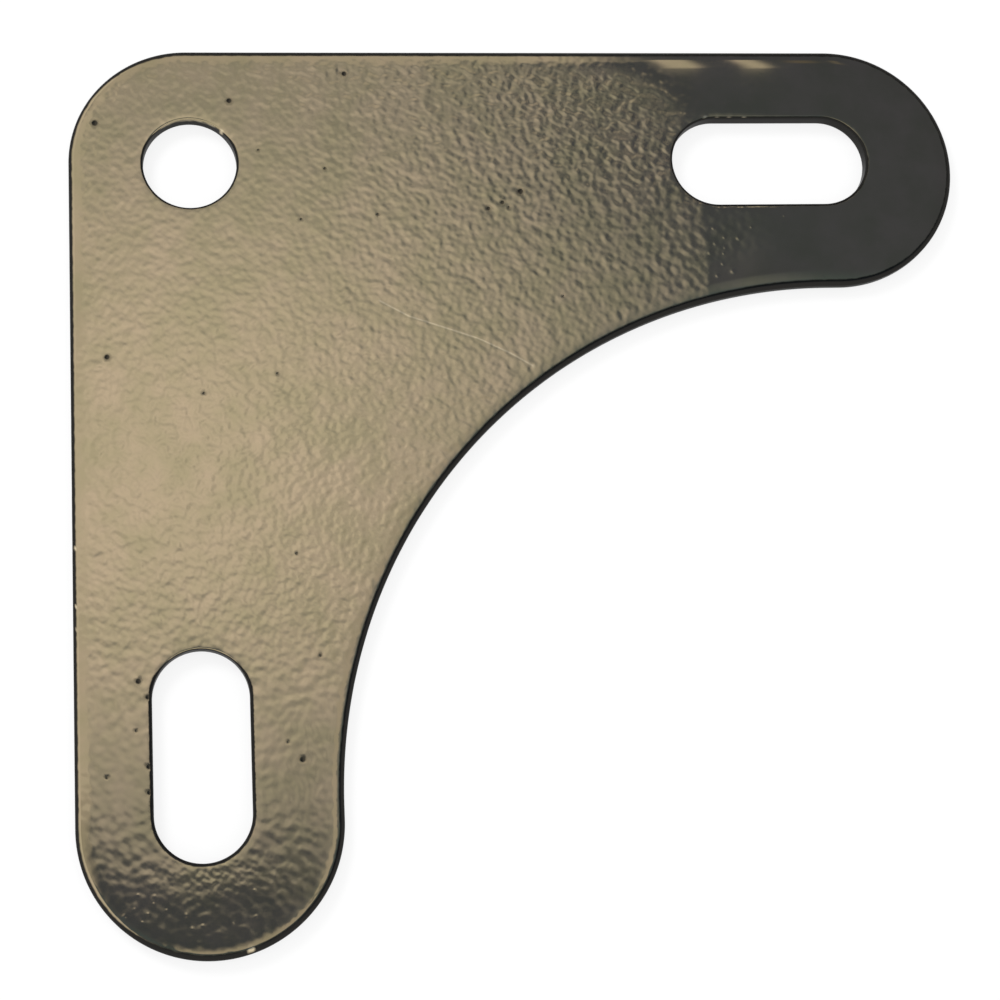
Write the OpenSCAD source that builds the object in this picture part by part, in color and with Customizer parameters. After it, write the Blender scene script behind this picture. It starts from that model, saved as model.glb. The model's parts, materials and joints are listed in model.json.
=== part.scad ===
// Slotted corner plate: a flat L of steel plate with one corner hole and a slot along each arm

/* [Plate] */
// Length of each arm, from the outer edge of the other arm
arm_l = 100; // [85:0.5:130]
// Width of each arm
arm_w = 28; // [24:0.5:34]
// Thickness of the coated plate
plate_t = 2; // [1.5:0.1:5]
// Radius of the outer corner
corner_r = 13; // [8:0.5:20]
// Straight run of the inner edge, between the round end of an arm and the sweep
inner_run = 1.5; // [0.5:0.5:12]
// Radius that the outer edges are rounded to
edge_round = 0.7; // [0.3:0.05:1]

/* [Hole and slots] */
// Distance of the hole's centre and of the slots' centre lines from the outer edges
gauge = 13.25; // [11:0.25:16]
// Diameter of the corner hole
hole_d = 10.3; // [6:0.1:13]
// Width of the slots
slot_w = 10.3; // [6:0.1:12]
// Length of the slots, end to end
slot_l = 22.5; // [15:0.5:32]
// Wall between a slot and the round end of its arm
end_wall = 10; // [7:0.25:14]
// Radius that the edges of the hole and the slots are rounded to
opening_round = 0.25; // [0.1:0.05:0.5]

/* [Hidden] */
$fn = 96;
coat_bronze = "#af9e80";

// A rounding can take up no more than this share of the thickness
edge_share = 0.45;
edge_r = min(edge_round, edge_share * plate_t);
opening_r = min(opening_round, edge_share * plate_t);
// Width of each border: its rounding, and a flat strip that runs into the middle of the plate
border_w = 3 * max(edge_r, opening_r);
// How far inside the edges the middle of the plate stops, on that strip
middle_inset = border_w * 2 / 3;

// Places, from the hole's centre: one arm lies along +X, the other along -Y
left_x = -gauge;
top_y = gauge;
inner_y = gauge - arm_w;
end_r = arm_w / 2;
end_x = arm_l - gauge - end_r;
end_y = gauge - end_r;
sweep_x = end_x - inner_run;
sweep_r = sweep_x + inner_y;
corner_x = left_x + corner_r;
slot_far_x = arm_l - gauge - end_wall - slot_w / 2;
slot_near_x = slot_far_x - (slot_l - slot_w);

// What belongs to one arm, and the same on the other arm across the diagonal
module both_arms() {
    children();
    mirror([1, 1, 0]) children();
}

// Slot along an arm, wider than the finished one by 2 * grow
module slot_shape(grow) {
    for (x = [slot_near_x, slot_far_x])
        translate([x, 0]) circle(slot_w / 2 + grow);
    translate([slot_near_x, -slot_w / 2 - grow])
        square([slot_far_x - slot_near_x, slot_w + 2 * grow]);
}

// Outline of the plate, drawn inside the finished one by inset
module plate_shape(inset) {
    difference() {
        union() {
            // The corner with the sweep cut into it
            difference() {
                union() {
                    translate([corner_x, -corner_x]) circle(corner_r - inset);
                    translate([corner_x, -sweep_x]) square([sweep_x - corner_x, sweep_x + top_y - inset]);
                    translate([left_x + inset, -sweep_x]) square([corner_r - inset, sweep_x - corner_x]);
                }
                translate([sweep_x, -sweep_x]) circle(sweep_r + inset);
            }
            // The rest of each arm, up to its round end
            both_arms() {
                translate([sweep_x, inner_y + inset]) square([inner_run, arm_w - 2 * inset]);
                translate([end_x, end_y]) circle(end_r - inset);
            }
        }
        circle(hole_d / 2 + inset);
        both_arms() slot_shape(inset);
    }
}

// Section of a border, with the edge at 0, the plate left of it, and both corners rounded
module border_section(rounding) {
    translate([-border_w, 0]) square([border_w - rounding, plate_t]);
    translate([-rounding, rounding]) square([rounding, plate_t - 2 * rounding]);
    for (z = [rounding, plate_t - rounding])
        translate([-rounding, z]) circle(rounding);
}

// Border of a straight edge that runs along +X from the origin, with the plate on its -Y side
module straight_border(length, rounding) {
    rotate([90, 0, 90]) linear_extrude(length) border_section(rounding);
}

// Border of a round edge about the origin, with the plate inside the arc
module convex_border(r, from, sweep, rounding) {
    rotate([0, 0, from]) rotate_extrude(angle = sweep) translate([r, 0]) border_section(rounding);
}

// Border of a round edge about the origin, with the plate outside the arc
module concave_border(r, from, sweep, rounding) {
    rotate([0, 0, from]) rotate_extrude(angle = sweep)
        translate([r, 0]) mirror([1, 0]) border_section(rounding);
}

// Rounded borders along the outside of one arm and round its slot
module arm_borders() {
    translate([corner_x, top_y, 0]) straight_border(end_x - corner_x, edge_r);
    translate([end_x, end_y, 0]) convex_border(end_r, -90, 180, edge_r);
    translate([end_x, inner_y, 0]) rotate([0, 0, 180]) straight_border(inner_run, edge_r);
    translate([slot_far_x, 0, 0]) concave_border(slot_w / 2, -90, 180, opening_r);
    translate([slot_near_x, 0, 0]) concave_border(slot_w / 2, 90, 180, opening_r);
    translate([slot_near_x, -slot_w / 2, 0]) straight_border(slot_far_x - slot_near_x, opening_r);
    translate([slot_far_x, slot_w / 2, 0]) rotate([0, 0, 180])
        straight_border(slot_far_x - slot_near_x, opening_r);
}

module corner_plate() {
    color(coat_bronze) {
        linear_extrude(plate_t) plate_shape(middle_inset);
        translate([corner_x, -corner_x, 0]) convex_border(corner_r, 90, 90, edge_r);
        translate([sweep_x, -sweep_x, 0]) concave_border(sweep_r, 90, 90, edge_r);
        concave_border(hole_d / 2, 0, 360, opening_r);
        both_arms() arm_borders();
    }
}

corner_plate();
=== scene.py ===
import json
import math

import bmesh
import bpy
import numpy as np
from mathutils import Matrix, Vector
from mathutils.geometry import delaunay_2d_cdt


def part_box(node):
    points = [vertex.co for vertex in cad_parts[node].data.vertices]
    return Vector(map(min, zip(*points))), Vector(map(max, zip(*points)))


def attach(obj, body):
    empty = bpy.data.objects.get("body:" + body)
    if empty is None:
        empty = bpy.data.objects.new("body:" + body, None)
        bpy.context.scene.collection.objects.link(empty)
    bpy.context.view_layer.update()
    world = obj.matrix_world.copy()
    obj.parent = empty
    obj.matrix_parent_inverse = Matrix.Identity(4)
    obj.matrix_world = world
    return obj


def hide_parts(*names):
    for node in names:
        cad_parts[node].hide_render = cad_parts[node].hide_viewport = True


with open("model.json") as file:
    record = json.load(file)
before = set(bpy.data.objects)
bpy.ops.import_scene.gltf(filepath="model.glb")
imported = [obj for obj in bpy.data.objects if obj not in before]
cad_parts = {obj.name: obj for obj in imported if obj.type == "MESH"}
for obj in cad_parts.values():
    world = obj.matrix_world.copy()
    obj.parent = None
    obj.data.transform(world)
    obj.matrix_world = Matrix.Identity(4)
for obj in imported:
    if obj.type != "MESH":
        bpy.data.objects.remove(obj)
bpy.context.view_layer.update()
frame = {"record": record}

# Corner plate
# One flat L of 2 mm steel plate, cut with round ends, a bolt hole at the corner and a slot along each arm.
# Its outer edges are tumbled round, the hole and the slots are only broken, and a gloss powder coat covers it
# all, with orange peel, a few pinholes and one fine scratch. It lies flat on its underside.
MM = 0.001
mounts = {mount["name"]: mount for mount in frame["record"]["mounts"]}
plate_low, plate_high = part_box("corner_plate")
gauge = -plate_low.x / MM
reach = plate_high.x / MM
thickness = (plate_high.z - plate_low.z) / MM
hole_radius = mounts["corner_hole"]["dims"]["r_mm"]
slot_radius = mounts["slot_x"]["dims"]["hole_r_mm"]
slot_half_run = mounts["slot_x"]["dims"]["slot_length_mm"] / 2 - slot_radius
slot_centre = mounts["slot_x"]["pos_m"][0] / MM
arm_width = 28.0
outer_corner_radius = 13.0
inner_run = 1.5
edge_round = 0.7
opening_round = 0.25

end_radius = arm_width / 2
end_x = reach - end_radius
end_y = gauge - end_radius
inner_y = gauge - arm_width
sweep_x = end_x - inner_run
sweep_radius = sweep_x + inner_y
corner_x = outer_corner_radius - gauge

# How close together the points of the mesh lie, in mm: along the edges, on the face and on the underside
edge_step = 0.35
face_step = 0.32
underside_step = 0.7


def straight_edge(start, end, outward):
    """Points along a straight edge, without the last one, each with the direction off the plate."""
    count = max(1, math.ceil(math.dist(start, end) / edge_step))
    return [(start[0] + (end[0] - start[0]) * i / count, start[1] + (end[1] - start[1]) * i / count, *outward)
            for i in range(count)]


def round_edge(centre, radius, start_deg, end_deg, side):
    """Points along an arc, without the last one. Side is 1 with the plate inside the arc, else -1."""
    turn = math.radians(end_deg - start_deg)
    count = math.ceil(abs(turn) * radius / edge_step)
    points = []
    for i in range(count):
        angle = math.radians(start_deg) + turn * i / count
        across, along = math.cos(angle), math.sin(angle)
        points.append((centre[0] + radius * across, centre[1] + radius * along, side * across, side * along))
    return points


def other_arm(x, y):
    """The same place on the other arm, across the plate's diagonal."""
    return -y, -x


outline = (
    straight_edge((corner_x, gauge), (end_x, gauge), (0, 1))
    + round_edge((end_x, end_y), end_radius, 90, -90, 1)
    + straight_edge((end_x, inner_y), (sweep_x, inner_y), (0, -1))
    + round_edge((sweep_x, -sweep_x), sweep_radius, 90, 180, -1)
    + straight_edge(other_arm(sweep_x, inner_y), other_arm(end_x, inner_y), (1, 0))
    + round_edge(other_arm(end_x, end_y), end_radius, 0, -180, 1)
    + straight_edge(other_arm(end_x, gauge), other_arm(corner_x, gauge), (-1, 0))
    + round_edge((corner_x, -corner_x), outer_corner_radius, 180, 90, 1)
)
hole_edge = round_edge((0, 0), hole_radius, 0, 360, -1)
slot_near, slot_far = slot_centre - slot_half_run, slot_centre + slot_half_run
slot_edge = (
    round_edge((slot_far, 0), slot_radius, -90, 90, -1)
    + straight_edge((slot_far, slot_radius), (slot_near, slot_radius), (0, -1))
    + round_edge((slot_near, 0), slot_radius, 90, 270, -1)
    + straight_edge((slot_near, -slot_radius), (slot_far, -slot_radius), (0, 1))
)
other_slot_edge = [(*other_arm(x, y), *other_arm(across, along)) for x, y, across, along in slot_edge]
edges = [np.array(edge) for edge in (outline, hole_edge, slot_edge, other_slot_edge)]
edge_rounds = [edge_round, opening_round, opening_round, opening_round]


def outer_inset(x, y):
    """How far inside the plate's outline a point lies, in mm, and below 0 outside it."""
    depth = np.minimum(x + gauge, gauge - y)
    in_corner = (x < corner_x) & (y > -corner_x)
    depth = np.where(in_corner, outer_corner_radius - np.hypot(x - corner_x, y + corner_x), depth)
    sweep = np.hypot(np.minimum(x - sweep_x, 0), np.maximum(y + sweep_x, 0)) - sweep_radius
    depth = np.minimum(depth, sweep)
    depth = np.where(x > end_x, end_radius - np.hypot(x - end_x, y - end_y), depth)
    return np.where(y < -end_x, end_radius - np.hypot(x + end_y, y + end_x), depth)


def opening_gap(x, y):
    """How far a point lies from the hole's or a slot's wall, in mm, and below 0 in the opening."""
    hole = np.hypot(x, y) - hole_radius
    slot = np.hypot(np.maximum(abs(x - slot_centre) - slot_half_run, 0), y) - slot_radius
    other_slot = np.hypot(x, np.maximum(abs(y + slot_centre) - slot_half_run, 0)) - slot_radius
    return np.minimum(hole, np.minimum(slot, other_slot))


def on_flat(x, y):
    """How far a point lies inside the flat of the face, in mm, from where the roundings start."""
    return np.minimum(outer_inset(x, y) - edge_round, opening_gap(x, y) - opening_round)


def rise(value, start, end):
    """0 before start, 1 after end, and smooth between them."""
    share = np.clip((value - start) / (end - start), 0, 1)
    return share * share * (3 - 2 * share)


# On both ends the coat flowed out smooth. The smooth part of the +X arm starts at a bent line across the arm,
# and that of the -Y arm at a line that dips below the slot. Each is a place along the arm, in mm.
smooth_line_x = 57.3
smooth_line_bends = [(-5.0, 0.31), (4.4, 0.41)]
smooth_line_y = -78.4
smooth_line_dip = {"x": -1.3, "half_width": 4.2, "depth": 2.6}
smooth_line_drop = {"from_x": 5.0, "to_x": 9.0, "depth": 5.0}


def past_right_line(x, y):
    """How far past the start of the +X arm's smooth end a point lies, in mm."""
    return x - smooth_line_x + sum(slope * np.maximum(y - start, 0) for start, slope in smooth_line_bends)


def past_low_line(x, y):
    """How far past the start of the -Y arm's smooth end a point lies, in mm."""
    off_dip = (x - smooth_line_dip["x"]) / smooth_line_dip["half_width"]
    dip = smooth_line_dip["depth"] * np.exp(-off_dip ** 2)
    drop = smooth_line_drop["depth"] * rise(x, smooth_line_drop["from_x"], smooth_line_drop["to_x"])
    return smooth_line_y - dip - drop - y


# The orange peel is even over most of the plate. It is strongest on the far side of the +X arm before the
# smooth end, and weaker on that arm's near side, round the hole, on the -Y arm and along the edges. Just below
# the -Y arm's slot it comes back. On the +X end it settles over a few mm past the line, and dies out towards
# the edge.
main_peel = 0.87
hole_peel = 0.45
hole_calm_radius = 15
right_arm_peel = 0.64
far_arm_peel = 1.2
low_arm_peel = 0.28
slot_end_peel = 0.64
slot_end_spot = {"x": 0.5, "y": -78, "half_width": 7, "half_height": 2.5}
settling_peel = 0.3
settling_length = 8
far_side_settled = 0.2
right_end_peel = 0.045
low_end_peel = 0.36
# The near and the far side of the +X arm's slot meet within this distance of its middle, in mm, and the line
# where the smooth end starts has its own softness on each side
slot_side = 4
near_line_width = 0.3
far_line_width = 4.5
# Along the edges the peel keeps these shares of its strength, and it has all of it this far inside, in mm
edge_share = 0.5
far_edge_share = 0.15
edge_calm_width = 1.3
far_edge_calm_width = 3.5
# How much of the peel is fine grain
main_fine = 0.4
slot_end_fine = 0.8


def between(value, other, share):
    """The value at share 0, the other at share 1."""
    return value + (other - value) * share


def past_slot(y):
    """0 on the near side of the +X arm's slot, and 1 on its far side."""
    return rise(y, -slot_side, slot_side)


def below_low_slot(x, y):
    """1 just below the -Y arm's slot, and 0 away from there."""
    off_x = (x - slot_end_spot["x"]) / slot_end_spot["half_width"]
    off_y = (y - slot_end_spot["y"]) / slot_end_spot["half_height"]
    return np.exp(-off_x ** 2 - off_y ** 2)


def fine_share(x, y):
    """How much of the orange peel is fine grain."""
    middle = (1 - rise(x, 34, 80)) * (1 - rise(-y, 48, 66))
    return main_fine * middle + slot_end_fine * below_low_slot(x, y)


def peel_strength(x, y):
    """How strong the orange peel is, from 0 for none. The places are in mm."""
    inset = outer_inset(x, y) - edge_round
    right_past = past_right_line(x, y)
    far_side = past_slot(y)
    right_arm = between(right_arm_peel, far_arm_peel, rise(y, -8, 3))
    strength = between(main_peel, right_arm, rise(x, 28, 50))
    strength = between(strength, hole_peel, np.exp(-(x ** 2 + y ** 2) / hole_calm_radius ** 2))
    strength = between(strength, low_arm_peel, rise(-y, 52, 66))
    strength = between(strength, slot_end_peel, below_low_slot(x, y))
    settling = (1 - rise(right_past, 0, settling_length)) * (1 - far_side_settled * far_side)
    right_peel = between(right_end_peel, settling_peel, settling) * rise(inset, 1.5, 5.5)
    line_width = between(near_line_width, far_line_width, far_side)
    strength = between(strength, right_peel, rise(right_past, -line_width, line_width))
    strength = between(strength, low_end_peel, rise(past_low_line(x, y), -1.4, 1.0))
    far_edge = rise(x, 30, 44) * rise(y, 0, 6)
    calm_width = between(edge_calm_width, far_edge_calm_width, far_edge)
    calm_share = between(edge_share, far_edge_share, far_edge)
    return strength * between(calm_share, 1.0, rise(inset, 0.2, calm_width))


def point_grid(step, wanted):
    """A net of points in equal triangles over the plate, where wanted says so."""
    row = step * math.sqrt(3) / 2
    columns = np.arange(-gauge, reach, step)
    rows = np.arange(-reach, gauge, row)
    x = columns[None, :] + (np.arange(len(rows)) % 2)[:, None] * step / 2
    y = np.repeat(rows[:, None], len(columns), axis=1)
    x, y = x.ravel(), y.ravel()
    keep = wanted(x, y)
    return np.column_stack((x[keep], y[keep]))


# Pinholes where the coat boiled: place from the hole's centre and width, in mm
pinhole_depth_share = 0.2
pinholes = [
    (-9.3, -22.1, 0.57), (-6.5, -57.5, 0.57), (10.5, -66.3, 0.6), (4.5, 7.3, 0.6), (-10.3, 4.7, 0.7),
    (17.4, 10.5, 0.55), (7.6, 1.5, 0.3), (14.9, -0.7, 0.35), (12.1, -6.6, 0.32), (9.0, -24.2, 0.3),
    (1.0, -26.3, 0.33), (10.5, -44.2, 0.33), (-6.8, -62.7, 0.33), (12.7, -55.3, 0.34), (9.0, -64.4, 0.3),
    (-9.9, -67.5, 0.36), (20.6, -6.1, 0.34), (33.0, -5.5, 0.44), (35.3, -5.4, 0.3), (36.7, -3.5, 0.62),
    (34.6, -4.8, 0.45), (40.9, -15.8, 0.27), (-5.55, -66.5, 0.55), (-5.55, -69.2, 0.5), (-5.55, -59.2, 0.5),
]
# Dust nibs that stand up from the smooth ends and catch the light: place, in mm, and width, which varies
nib_widths = (0.4, 0.65, 0.5, 0.7, 0.55)
nib_height_share = 0.02
nibs = [
    (-6.9, -79.7), (-5.2, -79.9), (-5.3, -80.7), (-7.3, -81.2), (-5.9, -81.7), (-6.5, -82.5), (-8.3, -81.8),
    (-4.0, -81.4), (-2.0, -82.0), (-0.3, -83.1), (2.8, -83.0), (5.2, -82.4), (5.1, -79.7), (-1.4, -83.4),
    (59.6, -10.3), (59.4, -11.0), (57.8, -10.9), (59.2, -12.2), (60.3, -13.1), (58.5, -13.6), (66.7, -6.6),
    (58.5, -9.8), (59.6, -9.1), (61.2, -9.2), (58.4, -8.0), (62.8, -7.9),
]
# The scratch, as the line that its point took
scratch_line = [(20.6, -16.2), (23.6, -17.9), (28.5, -19.6), (31.3, -20.6), (34.7, -22.3), (37.0, -23.7)]
scratch_step = 0.22
scratch_width = 0.3
scratch_depth = 0.006

# Pale spots on the edges: chips where the coat came off an edge, and painted glints along the rims of the hole
# and of the +X slot. Place and width, in mm
chips_and_glints = [
    (4.6, -85.75, 0.7), (3.55, 3.75, 0.45), (-12.9, -43.1, 0.34), (-12.9, -49.4, 0.25), (-12.9, -51.9, 0.3),
    (58.3, 5.3, 0.3), (59.6, 5.3, 0.35), (61.0, 5.3, 0.35), (63.0, 5.3, 0.3), (66.9, 5.3, 0.25),
    (74.4, 4.75, 0.22), (75.2, 4.15, 0.2), (75.45, 3.9, 0.2),
]

scratch_points = []
for start, end in zip(scratch_line[:-1], scratch_line[1:]):
    length = math.dist(start, end)
    across = (-(end[1] - start[1]) / length, (end[0] - start[0]) / length)
    for i in range(math.ceil(length / scratch_step)):
        share = i * scratch_step / length
        middle = (start[0] + (end[0] - start[0]) * share, start[1] + (end[1] - start[1]) * share)
        scratch_points.append((middle[0], middle[1], across[0], across[1]))
scratch_points = np.array(scratch_points)
nibs = [(x, y, nib_widths[i % len(nib_widths)]) for i, (x, y) in enumerate(nibs)]
dots = pinholes + nibs
# The face's own points keep clear of a pinhole or nib by this share of its width
mark_clearance = 0.8


def far_from_marks(x, y):
    """True where no pinhole, nib or scratch brings its own points."""
    clear = np.ones(len(x), bool)
    for dot_x, dot_y, width in dots:
        clear &= np.hypot(x - dot_x, y - dot_y) > width * mark_clearance
    for line_x, line_y in scratch_points[:, :2]:
        clear &= np.hypot(x - line_x, y - line_y) > scratch_width
    return clear


# How far from the roundings the face's own points and the marks' points keep, in mm
edge_margin = 0.2
mark_margin = 0.05
# Rings of points round the middle of a pinhole or nib: share of its width, and how many points
mark_rings = ((0.2, 6), (0.38, 9), (0.56, 12))


def face_place(x, y):
    """True on the flat of the face, clear of its edges and marks."""
    return (on_flat(x, y) > edge_margin) & far_from_marks(x, y)


def underside_place(x, y):
    """True on the flat of the underside, clear of its edges."""
    return on_flat(x, y) > underside_step / 2


mark_points = []
for dot_x, dot_y, width in dots:
    mark_points.append((dot_x, dot_y))
    for ring, count in mark_rings:
        for i in range(count):
            angle = 2 * math.pi * (i + ring) / count
            out = width * ring
            mark_points.append((dot_x + out * math.cos(angle), dot_y + out * math.sin(angle)))
for side in (-0.5, 0, 0.5):
    mark_points += [(x + side * scratch_width * across, y + side * scratch_width * along)
                    for x, y, across, along in scratch_points]
mark_points = np.array(mark_points)
mark_points = mark_points[on_flat(mark_points[:, 0], mark_points[:, 1]) > mark_margin]
face_points = np.vstack((point_grid(face_step, face_place), mark_points))
underside_points = point_grid(underside_step, underside_place)


# Points closer than the first are one point. A triangle with its middle less than the second inside the flat
# isn't part of it. Both are in mm.
merge_distance = 1e-7
least_inset = 1e-4


def flat_face(rings, inner_points):
    """Triangles over the flat between closed rings of points, which use the inner points too."""
    points = np.vstack(rings + [inner_points])
    joins = []
    first = 0
    for ring in rings:
        count = len(ring)
        joins += [(first + i, first + (i + 1) % count) for i in range(count)]
        first += count
    found = delaunay_2d_cdt([Vector(point) for point in points], joins, [], 0, merge_distance)
    triangles, came_from = found[2], found[3]
    source = np.array([origin[0] for origin in came_from])
    triangles = source[np.array(triangles)]
    middles = points[triangles].mean(axis=1)
    return triangles[on_flat(middles[:, 0], middles[:, 1]) > least_inset]


flat_rings = [edge[:, :2] - rounding * edge[:, 2:] for edge, rounding in zip(edges, edge_rounds)]
top_triangles = flat_face(flat_rings, face_points)
underside_triangles = flat_face(flat_rings, underside_points)

# The coat draws back a little from the edges, so that the face rolls off before the rounding starts
outer_roll = {"width": 1.2, "drop": 0.04}
opening_roll = {"width": 0.8, "drop": 0.012}
# Past the lines where the smooth ends start, the coat thins out over a few mm
thinning = {"width": 5.0, "right_drop": 0.042, "low_drop": 0.018}


def thinned(x, y):
    """How much thinner the coat is on the smooth ends, in mm."""
    right_share = np.clip(1 - past_right_line(x, y) / thinning["width"], 0, 1)
    low_share = np.clip(1 - past_low_line(x, y) / thinning["width"], 0, 1)
    right_drop = thinning["right_drop"] * (1 - past_slot(y))
    return right_drop * (1 - right_share ** 2) + thinning["low_drop"] * (1 - low_share ** 2)


def face_height(x, y):
    """Height of the coated top face, with its rolled edges, thin ends, pinholes and nibs."""
    height = np.full(len(x), thickness)
    outer_share = np.clip(1 - (outer_inset(x, y) - edge_round) / outer_roll["width"], 0, 1)
    opening_share = np.clip(1 - (opening_gap(x, y) - opening_round) / opening_roll["width"], 0, 1)
    height -= outer_roll["drop"] * outer_share ** 2 + opening_roll["drop"] * opening_share ** 2
    height -= thinned(x, y)
    for pin_x, pin_y, width in pinholes:
        near = np.clip(1 - (np.hypot(x - pin_x, y - pin_y) / (width / 2)) ** 2, 0, 1)
        height -= pinhole_depth_share * width * near * near
    for nib_x, nib_y, width in nibs:
        near = np.clip(1 - (np.hypot(x - nib_x, y - nib_y) / (width / 2)) ** 2, 0, 1)
        height += nib_height_share * width * near * near
    return height


def painted_dark_delay(edge, usual, facing, there):
    """How late the painted dark reflection starts over an edge: usual, and there where it faces the given way.
    """
    toward = edge[:, 2] * facing[0] + edge[:, 3] * facing[1]
    return between(usual, there, rise(toward, 0.3, 0.9))


# Each edge from the top face to the underside, as rings of points: over the rounding, down the wall and
# under. Edge turn is below 0 on the flats, by the distance in mm, and goes from 0 to 1 over a rounding. It sets
# where the painted dark reflection on the edges starts, and it grows down the walls, so that they are painted
# darker lower down. The bronze holds on longest at the far side of the hole, where it reaches down the wall,
# and stops short of the slots' rims. Past it the near black is painted.
round_steps = 6
wall_steps = 3
down_wall_turn = 0.6
rims = [
    (edges[0], edge_round, outer_roll, painted_dark_delay(edges[0], 0.0, (-1, 0), 0.3)),
    (edges[1], opening_round, opening_roll, painted_dark_delay(edges[1], -0.15, (0, -1), 0.95)),
    (edges[2], opening_round, opening_roll, painted_dark_delay(edges[2], -0.2, (0, -1), 0.1)),
    (edges[3], opening_round, opening_roll, painted_dark_delay(edges[3], -0.4, (0, -1), 0.5)),
]
quarter = [math.pi / 2 * i / round_steps for i in range(round_steps + 1)]
points = []
edge_turn = []
faces = []
point_count = 0
top_numbers = []
underside_numbers = []
for edge, rounding, roll, dark_delay in rims:
    wall_height = thickness - 2 * rounding
    section = [(math.sin(angle), thickness - rounding * (1 - math.cos(angle)), math.cos(angle))
               for angle in quarter]
    section += [(1.0, rounding + wall_height * (1 - i / wall_steps), 0.0) for i in range(1, wall_steps)]
    section += [(math.sin(angle), rounding * (1 - math.cos(angle)), 0.0) for angle in reversed(quarter)]
    count = len(edge)
    numbers = np.arange(count)
    for level, (turn, height, top_share) in enumerate(section):
        ring = edge[:, :2] + rounding * (turn - 1) * edge[:, 2:]
        heights = height - top_share * (roll["drop"] + thinned(ring[:, 0], ring[:, 1]))
        points.append(np.column_stack((ring, heights)))
        edge_turn.append(turn - dark_delay + down_wall_turn * (1 - heights / thickness))
        if level > 0:
            upper, lower = point_count - count + numbers, point_count + numbers
            faces += np.column_stack((upper, np.roll(upper, -1), np.roll(lower, -1), lower)).tolist()
        if level == 0:
            top_numbers.append(point_count + numbers)
        point_count += count
    underside_numbers.append(point_count - count + numbers)

for flat_points, heights, flat_numbers, triangles in (
        (face_points, face_height(face_points[:, 0], face_points[:, 1]), top_numbers, top_triangles),
        (underside_points, np.zeros(len(underside_points)), underside_numbers, underside_triangles)):
    flat_numbers.append(point_count + np.arange(len(flat_points)))
    points.append(np.column_stack((flat_points, heights)))
    edge_turn.append(-on_flat(flat_points[:, 0], flat_points[:, 1]))
    faces += np.concatenate(flat_numbers)[triangles].tolist()
    point_count += len(flat_points)
points = np.vstack(points)
edge_turn = np.concatenate(edge_turn)

# How much of each mark a point shows. A pinhole's dark spot is painted shade in the pit: the smaller a pinhole,
# the less dark it is, and the spot fades out between two shares of its width. A chip is bare, and a painted
# glint pale, almost up to its edge, and each counts double to show all pale.
full_dark_width = 0.5
most_dark = 0.92
small_pin_power = 0.7
pin_fade = (0.375, 0.6875)
chip_glint_steepness = 4
chip_glint_most = 2
pin_share = np.zeros(len(points))
# Painted shade in each pinhole's pit
for pin_x, pin_y, width in pinholes:
    away = np.hypot(points[:, 0] - pin_x, points[:, 1] - pin_y)
    darkness = most_dark * min(1.0, (width / full_dark_width) ** small_pin_power)
    spot = np.clip((pin_fade[1] - away / width) / (pin_fade[1] - pin_fade[0]), 0, 1)
    pin_share = np.maximum(pin_share, darkness * spot)
scratch_chip_glint_share = np.zeros(len(points))
for line_x, line_y in scratch_points[:, :2]:
    away = np.hypot(points[:, 0] - line_x, points[:, 1] - line_y)
    scratch_chip_glint_share = np.maximum(scratch_chip_glint_share, np.clip(1 - away / (scratch_width / 2), 0, 1))
points[:, 2] -= scratch_depth * scratch_chip_glint_share * (points[:, 2] > thickness / 2)
# Chips, and painted glints on the rims of the hole and the +X slot
for chip_glint_x, chip_glint_y, width in chips_and_glints:
    away = np.hypot(points[:, 0] - chip_glint_x, points[:, 1] - chip_glint_y)
    bare = np.clip(chip_glint_steepness * (1 - away / (width / 2)), 0, chip_glint_most)
    scratch_chip_glint_share = np.maximum(scratch_chip_glint_share, bare)
on_top = points[:, 2] > thickness / 2
pin_share *= on_top
scratch_chip_glint_share *= on_top

plate_mesh = bpy.data.meshes.new("corner_plate_coated")
plate_mesh.from_pydata((points * MM).tolist(), [], faces)
# The scratch mark carries the chips and the painted glints too
marks = {
    "edge_turn": edge_turn,
    "peel": peel_strength(points[:, 0], points[:, 1]),
    "fine": fine_share(points[:, 0], points[:, 1]),
    "pinhole": pin_share,
    "scratch": scratch_chip_glint_share,
}
for name, values in marks.items():
    attribute = plate_mesh.attributes.new(name, "FLOAT", "POINT")
    attribute.data.foreach_set("value", values.astype(np.float32))
shape = bmesh.new()
shape.from_mesh(plate_mesh)
bmesh.ops.recalc_face_normals(shape, faces=shape.faces)
shape.to_mesh(plate_mesh)
shape.free()
plate_mesh.shade_smooth()
plate = bpy.data.objects.new("corner_plate_coated", plate_mesh)
bpy.context.scene.collection.objects.link(plate)


def linear(hex_colour):
    """An sRGB hex colour as the linear values that Blender's sockets take."""
    parts = [int(hex_colour[i:i + 2], 16) / 255 for i in (1, 3, 5)]
    return [part / 12.92 if part <= 0.04045 else ((part + 0.055) / 1.055) ** 2.4 for part in parts] + [1.0]


def add_node(tree, kind, settings, inputs):
    """A new node with its settings, and each input either linked to a socket or set to a value."""
    node = tree.nodes.new(kind)
    for name, value in settings.items():
        setattr(node, name, value)
    for socket, value in inputs.items():
        if isinstance(value, bpy.types.NodeSocket):
            tree.links.new(value, node.inputs[socket])
        else:
            node.inputs[socket].default_value = value
    return node


# Bronze gloss powder coat, cured on hot steel. It mirrors what is round it in a tan tone, broken up by orange
# peel: shallow bumps about 1 mm apart. Near black is painted on the rounded edges and walls as a painted dark
# reflection, and in pinholes as painted shade in the pits.
bronze = linear("#b3a184")
bronze_deep = linear("#a79a7a")
painted_dark_tone = linear("#2c2b29")
pale_scratch_chip_glint = linear("#d8c8a8")
mottle_size = 5.0 * MM
peel_size = 0.9 * MM
fine_peel_size = 0.6 * MM
peel_depth = 0.07 * MM
peel_turn = (0.4, 0.3, 0.6)
grain_size = 0.45 * MM
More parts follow.
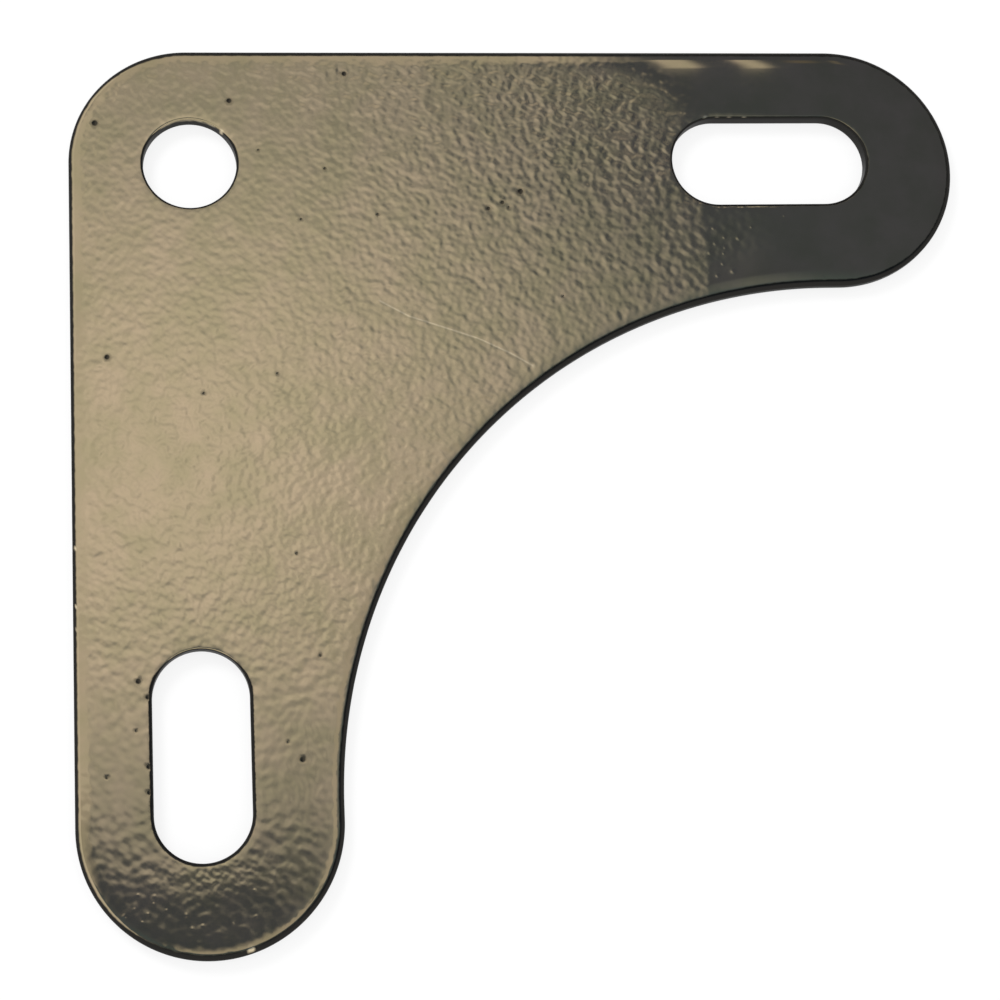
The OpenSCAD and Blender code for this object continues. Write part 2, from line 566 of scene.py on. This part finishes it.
# The painted near black of the edges, a painted dark reflection, starts and is full at these edge turns, and
# waves in and out by this much
edge_wave_size = 0.9 * MM
edge_wave_share = 0.3
rim_start = 0.17
rim_full = 0.45
# How much of the coat's colour the scratch, the chips and the painted glints hide, how much a painted dark rim
# mirrors at a glance, and how dull the coat is
scratch_glint_cover = 0.65
rim_glance = 0.58
least_dull = 0.10
most_dull = 0.18
rim_dull = 0.25

coat = bpy.data.materials.new("bronze_gloss_powder_coat")
coat.use_nodes = True
tree = coat.node_tree
tree.nodes.clear()
place = add_node(tree, "ShaderNodeTexCoord", {}, {}).outputs["Object"]
edge_here = add_node(tree, "ShaderNodeAttribute", {"attribute_name": "edge_turn"}, {}).outputs["Fac"]
peel_here = add_node(tree, "ShaderNodeAttribute", {"attribute_name": "peel"}, {}).outputs["Fac"]
fine_here = add_node(tree, "ShaderNodeAttribute", {"attribute_name": "fine"}, {}).outputs["Fac"]
pinhole_here = add_node(tree, "ShaderNodeAttribute", {"attribute_name": "pinhole"}, {}).outputs["Fac"]
scratch_chip_glint_here = add_node(tree, "ShaderNodeAttribute", {"attribute_name": "scratch"}, {}).outputs["Fac"]

mottle = add_node(tree, "ShaderNodeTexNoise", {}, {
    "Vector": place, "Scale": 1 / mottle_size, "Detail": 3.0, "Roughness": 0.6}).outputs["Fac"]
mottle = add_node(tree, "ShaderNodeMapRange", {}, {
    "Value": mottle, "From Min": 0.35, "From Max": 0.65}).outputs["Result"]
tan = add_node(tree, "ShaderNodeMix", {"data_type": "RGBA"}, {
    0: mottle, 6: bronze, 7: bronze_deep}).outputs[2]

edge_wave = add_node(tree, "ShaderNodeTexNoise", {}, {
    "Vector": place, "Scale": 1 / edge_wave_size, "Detail": 2.0}).outputs["Fac"]
edge_wavy = add_node(tree, "ShaderNodeMath", {"operation": "MULTIPLY_ADD"}, {
    0: edge_wave, 1: edge_wave_share, 2: edge_here}).outputs[0]
rim = add_node(tree, "ShaderNodeMapRange", {"interpolation_type": "SMOOTHSTEP"}, {
    "Value": edge_wavy, "From Min": rim_start, "From Max": rim_full}).outputs["Result"]
# Painted dark: a painted dark reflection on the rounded edges and walls, and painted shade in the pinholes
dark = add_node(tree, "ShaderNodeMath", {"operation": "MAXIMUM"}, {0: rim, 1: pinhole_here}).outputs[0]
coloured = add_node(tree, "ShaderNodeMix", {"data_type": "RGBA"}, {
    0: dark, 6: tan, 7: painted_dark_tone}).outputs[2]
scratch_chip_glint_soft = add_node(tree, "ShaderNodeMath", {"operation": "MULTIPLY"}, {
    0: scratch_chip_glint_here, 1: scratch_glint_cover}).outputs[0]
coloured = add_node(tree, "ShaderNodeMix", {"data_type": "RGBA"}, {
    0: scratch_chip_glint_soft, 6: coloured, 7: pale_scratch_chip_glint}).outputs[2]

turned_place = add_node(tree, "ShaderNodeMapping", {}, {
    "Vector": place, "Rotation": peel_turn}).outputs["Vector"]
bumps = add_node(tree, "ShaderNodeTexNoise", {}, {
    "Vector": turned_place, "Scale": 1 / peel_size, "Detail": 0.0}).outputs["Fac"]
fine_bumps = add_node(tree, "ShaderNodeTexNoise", {}, {
    "Vector": turned_place, "Scale": 1 / fine_peel_size, "Detail": 0.0}).outputs["Fac"]
bumps = add_node(tree, "ShaderNodeMix", {"data_type": "FLOAT"}, {
    0: fine_here, 2: bumps, 3: fine_bumps}).outputs[0]
bumps = add_node(tree, "ShaderNodeMath", {"operation": "SUBTRACT"}, {0: bumps, 1: 0.5}).outputs[0]
bumps = add_node(tree, "ShaderNodeMath", {"operation": "MULTIPLY"}, {0: bumps, 1: peel_here}).outputs[0]
bumps = add_node(tree, "ShaderNodeMath", {"operation": "MULTIPLY"}, {0: bumps, 1: peel_depth}).outputs[0]
relief = add_node(tree, "ShaderNodeBump", {}, {
    "Strength": 1.0, "Distance": 1.0, "Height": bumps}).outputs["Normal"]

grain = add_node(tree, "ShaderNodeTexNoise", {}, {
    "Vector": place, "Scale": 1 / grain_size, "Detail": 2.0}).outputs["Fac"]
dull = add_node(tree, "ShaderNodeMapRange", {}, {
    "Value": grain, "To Min": least_dull, "To Max": most_dull}).outputs["Result"]
peel_dull = add_node(tree, "ShaderNodeMapRange", {}, {
    "Value": peel_here, "From Min": 0.1, "From Max": 0.6, "To Min": 0.3, "To Max": 1.0}).outputs["Result"]
dull = add_node(tree, "ShaderNodeMath", {"operation": "MULTIPLY"}, {0: dull, 1: peel_dull}).outputs[0]
dull = add_node(tree, "ShaderNodeMath", {"operation": "MULTIPLY_ADD"}, {
    0: dark, 1: rim_dull, 2: dull}).outputs[0]
glance = add_node(tree, "ShaderNodeMix", {"data_type": "RGBA"}, {
    0: dark, 6: (1, 1, 1, 1), 7: (rim_glance, rim_glance, rim_glance, 1)}).outputs[2]
finish = add_node(tree, "ShaderNodeBsdfPrincipled", {}, {
    "Base Color": coloured, "Metallic": 1.0, "Roughness": dull, "Specular Tint": glance, "Normal": relief})
add_node(tree, "ShaderNodeOutputMaterial", {}, {"Surface": finish.outputs["BSDF"]})

# The waviness of the coat is part of the plate's shape: each point moves along its normal by a little
wave_tree = bpy.data.node_groups.new("coat_waves", "GeometryNodeTree")
wave_tree.interface.new_socket("Plate", in_out="INPUT", socket_type="NodeSocketGeometry")
wave_sockets = {}
for label, kind in (("Wave length", "NodeSocketFloat"), ("Wave depth", "NodeSocketFloat"),
                    ("Seed", "NodeSocketFloat"), ("Coat", "NodeSocketMaterial")):
    wave_sockets[label] = wave_tree.interface.new_socket(label, in_out="INPUT", socket_type=kind).identifier
wave_tree.interface.new_socket("Plate", in_out="OUTPUT", socket_type="NodeSocketGeometry")
given = add_node(wave_tree, "NodeGroupInput", {}, {}).outputs
here = add_node(wave_tree, "GeometryNodeInputPosition", {}, {}).outputs[0]
per_length = add_node(wave_tree, "ShaderNodeMath", {"operation": "DIVIDE"}, {
    0: 1.0, 1: given["Wave length"]}).outputs[0]
waves = add_node(wave_tree, "ShaderNodeTexNoise", {"noise_dimensions": "4D"}, {
    "Vector": here, "W": given["Seed"], "Scale": per_length, "Detail": 1.0}).outputs["Fac"]
waves = add_node(wave_tree, "ShaderNodeMath", {"operation": "SUBTRACT"}, {0: waves, 1: 0.5}).outputs[0]
strength = add_node(wave_tree, "GeometryNodeInputNamedAttribute", {"data_type": "FLOAT"}, {
    "Name": "peel"}).outputs["Attribute"]
waves = add_node(wave_tree, "ShaderNodeMath", {"operation": "MULTIPLY"}, {0: waves, 1: strength}).outputs[0]
waves = add_node(wave_tree, "ShaderNodeMath", {"operation": "MULTIPLY"}, {
    0: waves, 1: given["Wave depth"]}).outputs[0]
facing = add_node(wave_tree, "GeometryNodeInputNormal", {}, {}).outputs[0]
shift = add_node(wave_tree, "ShaderNodeVectorMath", {"operation": "SCALE"}, {
    "Vector": facing, "Scale": waves}).outputs["Vector"]
waved = add_node(wave_tree, "GeometryNodeSetPosition", {}, {
    "Geometry": given["Plate"], "Offset": shift}).outputs["Geometry"]
waved = add_node(wave_tree, "GeometryNodeRealizeInstances", {}, {"Geometry": waved}).outputs["Geometry"]
waved = add_node(wave_tree, "GeometryNodeSetMaterial", {}, {
    "Geometry": waved, "Material": given["Coat"]}).outputs["Geometry"]
add_node(wave_tree, "NodeGroupOutput", {}, {"Plate": waved})

wave_length = 1.5 * MM
wave_depth = 0.03 * MM
wave_seed = 7.0
coat_waves = plate.modifiers.new("coat_waves", "NODES")
coat_waves.node_group = wave_tree
coat_waves[wave_sockets["Wave length"]] = wave_length
coat_waves[wave_sockets["Wave depth"]] = wave_depth
coat_waves[wave_sockets["Seed"]] = wave_seed
coat_waves[wave_sockets["Coat"]] = coat
graph = bpy.context.evaluated_depsgraph_get()
finished_mesh = bpy.data.meshes.new_from_object(plate.evaluated_get(graph))
plate.modifiers.remove(coat_waves)
plate.data = finished_mesh
finished_mesh.name = "corner_plate_coated"
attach(plate, "root")
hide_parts("corner_plate")

# Floor
# A plain white floor that the plate lies on. It shows white to the camera and in gloss, and keeps a soft
# shadow.
floor_half = 1.5
floor_level = -0.02 * MM
# How much of the white that the floor shows is its own. The rest takes the shadow.
floor_glow = 0.8
floor_mesh = bpy.data.meshes.new("floor")
floor_mesh.from_pydata([(-floor_half, -floor_half, floor_level), (floor_half, -floor_half, floor_level),
                        (floor_half, floor_half, floor_level), (-floor_half, floor_half, floor_level)],
                       [], [(0, 1, 2, 3)])
floor = bpy.data.objects.new("floor", floor_mesh)
bpy.context.scene.collection.objects.link(floor)
paper = bpy.data.materials.new("white_paper_floor")
paper.use_nodes = True
tree = paper.node_tree
tree.nodes.clear()
light_path = add_node(tree, "ShaderNodeLightPath", {}, {}).outputs
seen = add_node(tree, "ShaderNodeMath", {"operation": "ADD"}, {
    0: light_path["Is Camera Ray"], 1: light_path["Is Glossy Ray"]}).outputs[0]
seen = add_node(tree, "ShaderNodeMath", {"operation": "ADD", "use_clamp": True}, {
    0: seen, 1: light_path["Is Transmission Ray"]}).outputs[0]
seen = add_node(tree, "ShaderNodeMath", {"operation": "MULTIPLY"}, {0: seen, 1: floor_glow}).outputs[0]
matt = add_node(tree, "ShaderNodeBsdfDiffuse", {}, {"Color": linear("#f4f4f4")}).outputs[0]
white = add_node(tree, "ShaderNodeEmission", {}, {"Strength": 1.0}).outputs[0]
blend = add_node(tree, "ShaderNodeMixShader", {}, {0: seen, 1: matt, 2: white}).outputs[0]
add_node(tree, "ShaderNodeOutputMaterial", {}, {"Surface": blend})
floor_mesh.materials.append(paper)

# Camera
# It stands over the near arm and looks down across the plate, as the photo was taken. Its place, roll and lens
# were fitted to the outline, the hole and the slots.
camera_place = Vector((0.44, -93.6, 256.62)) * MM
camera_aim = Vector((32.71, -38.83, 2.0)) * MM
camera_roll = math.radians(2.75)
camera_data = bpy.data.cameras.new("camera")
camera_data.sensor_width = 36.0
camera_data.lens = 86.86
camera_data.clip_start = 0.005
camera = bpy.data.objects.new("camera", camera_data)
bpy.context.scene.collection.objects.link(camera)
ahead = (camera_aim - camera_place).normalized()
right = ahead.cross(Vector((0, 1, 0))).normalized()
up = right.cross(ahead)
rolled_up = up * math.cos(camera_roll) + right * math.sin(camera_roll)
rolled_right = ahead.cross(rolled_up)
camera.matrix_world = Matrix.LocRotScale(
    camera_place, Matrix((rolled_right, rolled_up, -ahead)).transposed(), None)
bpy.context.scene.camera = camera

# Cards that the gloss mirrors
# Painted cards that hang over the plate, with soft borders: a pale ceiling that is brightest over the corner,
# a dark card over the +X end, a low dark card over the -Y end, faint shades, a faint glow, and pale strips that
# light the rolled edges. They show in gloss only, and throw no light or shadow.


def hang_card(name, places, faces, paint):
    """A card of the given faces, seen in gloss only."""
    mesh = bpy.data.meshes.new(name)
    mesh.from_pydata(places, [], faces)
    mesh.materials.append(paint)
    made = bpy.data.objects.new(name, mesh)
    bpy.context.scene.collection.objects.link(made)
    made.visible_camera = False
    made.visible_diffuse = False
    made.visible_shadow = False
    made.visible_transmission = False
    made.visible_volume_scatter = False
    return mesh


def hang_soft_card(name, places, faces, cover, tone):
    """A card in one tone that is clear where cover, one value for each place, is 0."""
    paint = bpy.data.materials.new(name)
    paint.use_nodes = True
    tree = paint.node_tree
    tree.nodes.clear()
    cover_here = add_node(tree, "ShaderNodeAttribute", {"attribute_name": "cover"}, {}).outputs["Fac"]
    glow = add_node(tree, "ShaderNodeEmission", {}, {"Color": (*tone, 1), "Strength": 1.0}).outputs[0]
    clear = add_node(tree, "ShaderNodeBsdfTransparent", {}, {}).outputs[0]
    blend = add_node(tree, "ShaderNodeMixShader", {}, {0: cover_here, 1: clear, 2: glow}).outputs[0]
    add_node(tree, "ShaderNodeOutputMaterial", {}, {"Surface": blend})
    mesh = hang_card(name, places, faces, paint)
    mesh.attributes.new("cover", "FLOAT", "POINT").data.foreach_set("value", cover)


def net_faces(rows, columns):
    """Faces between the points of a net, numbered row by row."""
    return [(row * columns + i, row * columns + i + 1, (row + 1) * columns + i + 1, (row + 1) * columns + i)
            for row in range(rows - 1) for i in range(columns - 1)]


# The ceiling fades with the distance from a point a little above its brightest place
ceiling_height = 500 * MM
ceiling_sides = (-150 * MM, 600 * MM, -350 * MM, 300 * MM)
bright_point = Vector((-4, 80, 540)) * MM
ceiling_reach = 211 * MM
ceiling_bright = (1.19, 1.175, 1.18, 1)
ceiling_dim = (0.127, 0.185, 0.25, 1)
ceiling_paint = bpy.data.materials.new("pale_ceiling")
ceiling_paint.use_nodes = True
tree = ceiling_paint.node_tree
tree.nodes.clear()
spot = add_node(tree, "ShaderNodeTexCoord", {}, {}).outputs["Object"]
away = add_node(tree, "ShaderNodeVectorMath", {"operation": "DISTANCE"}, {
    0: spot, 1: bright_point}).outputs["Value"]
nearest = bright_point.z - ceiling_height
farthest = math.hypot(ceiling_reach, nearest)
fade = add_node(tree, "ShaderNodeMapRange", {}, {
    "Value": away, "From Min": nearest, "From Max": farthest}).outputs["Result"]
ceiling_tone = add_node(tree, "ShaderNodeMix", {"data_type": "RGBA"}, {
    0: fade, 6: ceiling_bright, 7: ceiling_dim}).outputs[2]
glow = add_node(tree, "ShaderNodeEmission", {}, {"Color": ceiling_tone, "Strength": 1.0}).outputs[0]
add_node(tree, "ShaderNodeOutputMaterial", {}, {"Surface": glow})
left, right, near, far = ceiling_sides
ceiling_places = [(x, y, ceiling_height) for y in (near, far) for x in (left, right)]
hang_card("ceiling_card", ceiling_places, net_faces(2, 2), ceiling_paint)

# The dark card over the +X end has one slanting soft edge, and runs on to the right of it
dark_tone = (0.102, 0.123, 0.186)
dark_edge = Vector((163, 155, 480)) * MM
dark_edge_turn = math.radians(36)
dark_width = 600 * MM
dark_lengths = (-250 * MM, 450 * MM)
across = Vector((math.cos(dark_edge_turn), math.sin(dark_edge_turn), 0))
along = Vector((-across.y, across.x, 0))
# Distance past the edge, and how much the card covers there
dark_columns = ((-32 * MM, 0.0), (20 * MM, 0.82), (100 * MM, 1.0), (dark_width, 1.0))
dark_places = [dark_edge + across * out + along * length
               for length in dark_lengths for out, share in dark_columns]
dark_cover = [share for length in dark_lengths for out, share in dark_columns]
dark_faces = net_faces(len(dark_lengths), len(dark_columns))
hang_soft_card("right_dark_card", dark_places, dark_faces, dark_cover, dark_tone)

# A thin shade dims the ceiling towards its near end: place along Y, in mm, and how much it covers there
shade_height = 490
shade_sides = (-200, 150)
shade_rows = ((62, 0.0), (25, 0.03), (8, 0.10), (-40, 0.21), (-300, 0.22))
shade_places = [Vector((x, y, shade_height)) * MM for y, share in shade_rows for x in shade_sides]
shade_cover = [share for y, share in shade_rows for x in shade_sides]
shade_faces = net_faces(len(shade_rows), len(shade_sides))
hang_soft_card("near_shade", shade_places, shade_faces, shade_cover, dark_tone)

# Ovals are nets of spokes and of rings that fade out. A notch draws one side of an oval in.
spokes = 64
fade_steps = 8
notch_angle = math.radians(78)
notch_half_width = math.radians(22)


def hang_oval(name, centre, half_sizes, turn_deg, soft, most, tone, notch_depth=0.0):
    """A soft oval card, in mm. It covers most up to the first soft size and nothing from the second on."""
    sizes = [0.0] + [between(*soft, i / fade_steps) for i in range(fade_steps + 1)]
    turn = Matrix.Rotation(math.radians(turn_deg), 3, "Z")
    places = []
    cover = []
    for size in sizes:
        for i in range(spokes + 1):
            angle = 2 * math.pi * i / spokes
            notch = notch_depth * math.exp(-((angle - notch_angle) / notch_half_width) ** 2)
            out_x = half_sizes[0] * size * math.cos(angle)
            out_y = half_sizes[1] * (1 - notch) * size * math.sin(angle)
            places.append((Vector(centre) + turn @ Vector((out_x, out_y, 0))) * MM)
            cover.append(most * (1 - rise(size, *soft)))
    hang_soft_card(name, places, net_faces(len(sizes), spokes + 1), cover, tone)


# The low dark card over the -Y end hangs just above the camera
low_card_tone = (0.096, 0.120, 0.177)
hang_oval("low_dark_card", (-12, -79, 258.6), (44, 26), 6, (0.5, 1.5), 1.0, low_card_tone, notch_depth=0.4)

# Faint shades dim the sweep's near side and both sides of the right slot's near end, and a faint glow lights
# the sweep's far side
glow_tone = (0.9, 0.9, 0.9)
hang_oval("sweep_shade", (44, 68, 486), (22, 12), 63, (0.3, 1.6), 0.4, dark_tone)
hang_oval("low_side_shade", (31, -14, 487), (42, 10), 90, (0.3, 1.6), 0.2, dark_tone)
hang_oval("far_side_shade", (153, 200, 484), (15, 15), 0, (0.3, 1.5), 0.5, dark_tone)
hang_oval("slot_side_shade", (186, 134, 485), (14, 12), 0, (0.3, 1.5), 0.7, dark_tone)
hang_oval("sweep_glow", (137, 126, 488), (14, 12), 0, (0.3, 1.5), 0.18, glow_tone)

# Pale strips past the ceiling's ends: left, right, near and far side, soft border, in mm, and tone. Each hangs
# a little higher than the one before, so that two never lie in one plane where they overlap.
strip_height = 478
strip_step = 0.1
strips = {
    "left_strip": (-200, -52, 40, 105, 10, 1.03),
    "left_strip_2": (-200, -52, 100, 240, 10, 0.90),
    "left_strip_3": (-200, -52, -25, 45, 10, 0.88),
    "left_strip_4": (-200, -52, -90, -20, 10, 0.64),
    "far_strip": (-120, 138, 232, 400, 36, 0.78),
    "far_strip_2": (154, 166.5, 208, 266, 4, 0.80),
    "far_strip_3": (181.5, 190, 208, 266, 4, 0.80),
    "far_strip_4": (200, 209, 238, 262, 4, 0.20),
    "far_strip_5": (217, 223, 238, 262, 4, 0.24),
    "near_strip": (-30, 110, -160, -98, 8, 0.65),
    "side_strip": (68, 110, -92, 60, 10, 0.70),
}
for i, (name, (left, right, near, far, soft, level)) in enumerate(strips.items()):
    half = soft / 2
    height = strip_height + i * strip_step
    columns = (left - half, left + half, right - half, right + half)
    rows = (near - half, near + half, far - half, far + half)
    strip_places = [Vector((x, y, height)) * MM for y in rows for x in columns]
    strip_cover = [float(row in (1, 2) and column in (1, 2)) for row in range(4) for column in range(4)]
    hang_soft_card(name, strip_places, net_faces(4, 4), strip_cover, (level, level, level))

# Light
# A white room with one soft lamp up to the left, which gives the plate its soft shadow. The gloss doesn't
# mirror the lamp.
world = bpy.data.worlds.new("white_room")
bpy.context.scene.world = world
world.use_nodes = True
tree = world.node_tree
tree.nodes.clear()
sky = add_node(tree, "ShaderNodeBackground", {}, {"Color": (1, 1, 1, 1), "Strength": 1.0}).outputs[0]
add_node(tree, "ShaderNodeOutputWorld", {}, {"Surface": sky})

lamp_data = bpy.data.lights.new("soft_lamp", "AREA")
lamp_data.shape = "DISK"
lamp_data.size = 0.25
lamp_data.energy = 2.4
lamp = bpy.data.objects.new("soft_lamp", lamp_data)
bpy.context.scene.collection.objects.link(lamp)
lamp_place = Vector((-0.30, 0.35, 0.45))
lamp_aim = Vector((0.03, -0.03, 0))
lamp.location = lamp_place
lamp.rotation_euler = (lamp_aim - lamp_place).to_track_quat("-Z", "Y").to_euler()
lamp.visible_glossy = False

bpy.context.scene.view_settings.view_transform = "Standard"
